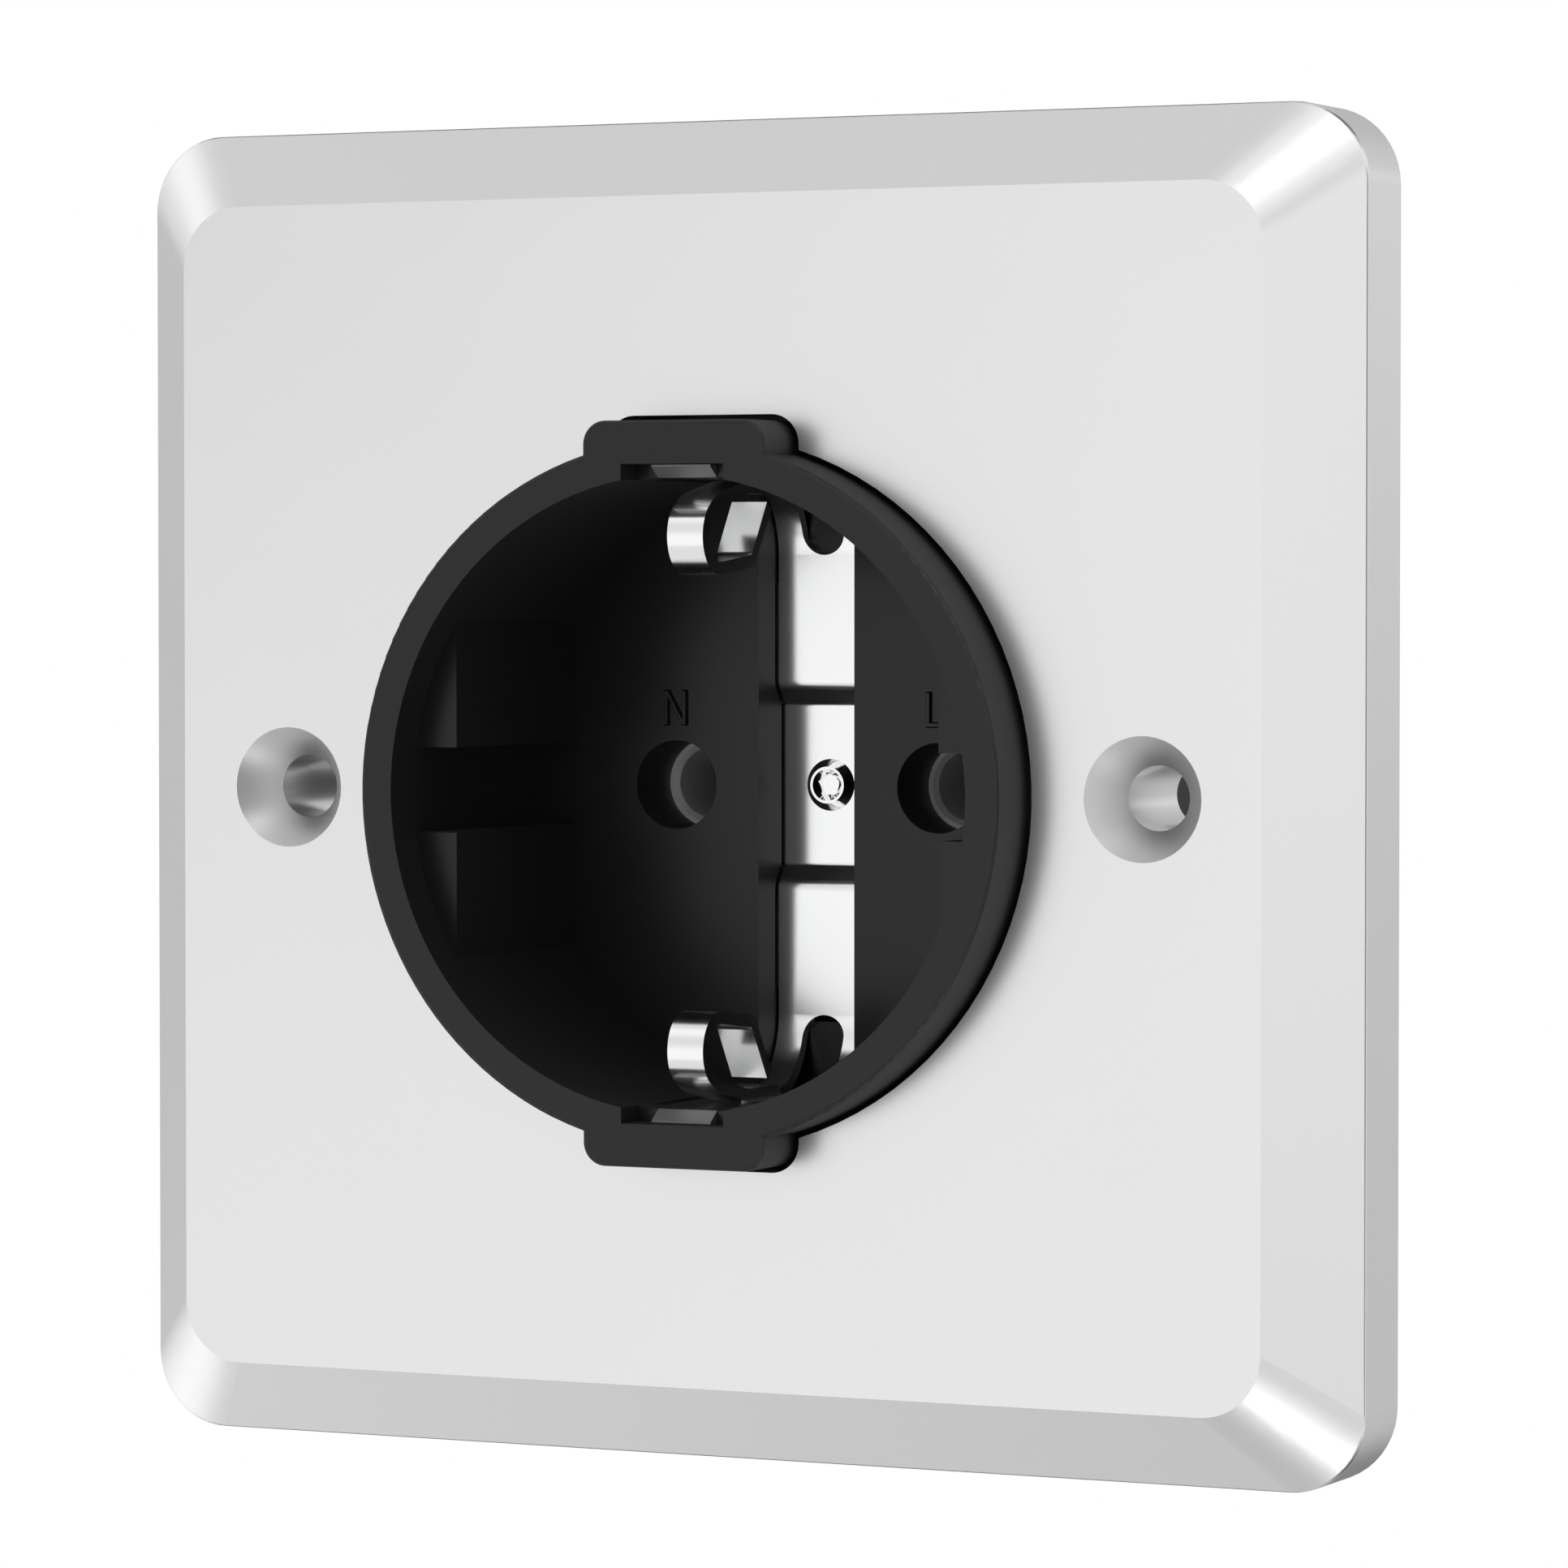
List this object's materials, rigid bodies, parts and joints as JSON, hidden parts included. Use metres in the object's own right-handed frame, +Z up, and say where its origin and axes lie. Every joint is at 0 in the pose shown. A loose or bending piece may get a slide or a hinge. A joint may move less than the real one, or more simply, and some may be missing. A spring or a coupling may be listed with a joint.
{
  "type": "schuko socket",
  "caption": "Flush earthed wall socket: square bevelled metal plate with countersunk fixing holes, black round plug recess, pin holes, side keys, sprung earth clips and rear terminal housing.",
  "frame": {"origin": "midway between the two fixing holes, on the wall plane, which is the rear face of the plate", "axes": "+X to the right, +Y into the wall, +Z up; the plug recess faces -Y"},
  "size_m": [0.086, 0.0426, 0.086],
  "materials": {
    "satin_metal": "satin",
    "black_plastic": "fine matt",
    "plated_strip": "bright plated",
    "polished_screw": "polished",
    "brass": "as stamped",
    "tinned_contact": "matt tin",
    "spring_steel": "plain",
    "zinc_steel": "bright zinc"
  },
  "bodies": {
    "root": {"faceplate": "satin_metal", "socket_insert": "black_plastic", "base_housing": "black_plastic", "earth_strap": "plated_strip", "strap_screw": "polished_screw", "earth_link": "brass", "plate_earth_tag": "brass", "line_contact": "tinned_contact", "neutral_contact": "tinned_contact", "line_spring": "spring_steel", "neutral_spring": "spring_steel", "earth_clamp": "zinc_steel", "line_clamp": "zinc_steel", "neutral_clamp": "zinc_steel", "earth_clamp_screw": "zinc_steel", "line_clamp_screw": "zinc_steel", "neutral_clamp_screw": "zinc_steel", "base_screws": "zinc_steel", "insert_screws": "zinc_steel", "plate_earth_washer": "zinc_steel", "plate_earth_screw": "zinc_steel"}
  },
  "joints": []
}
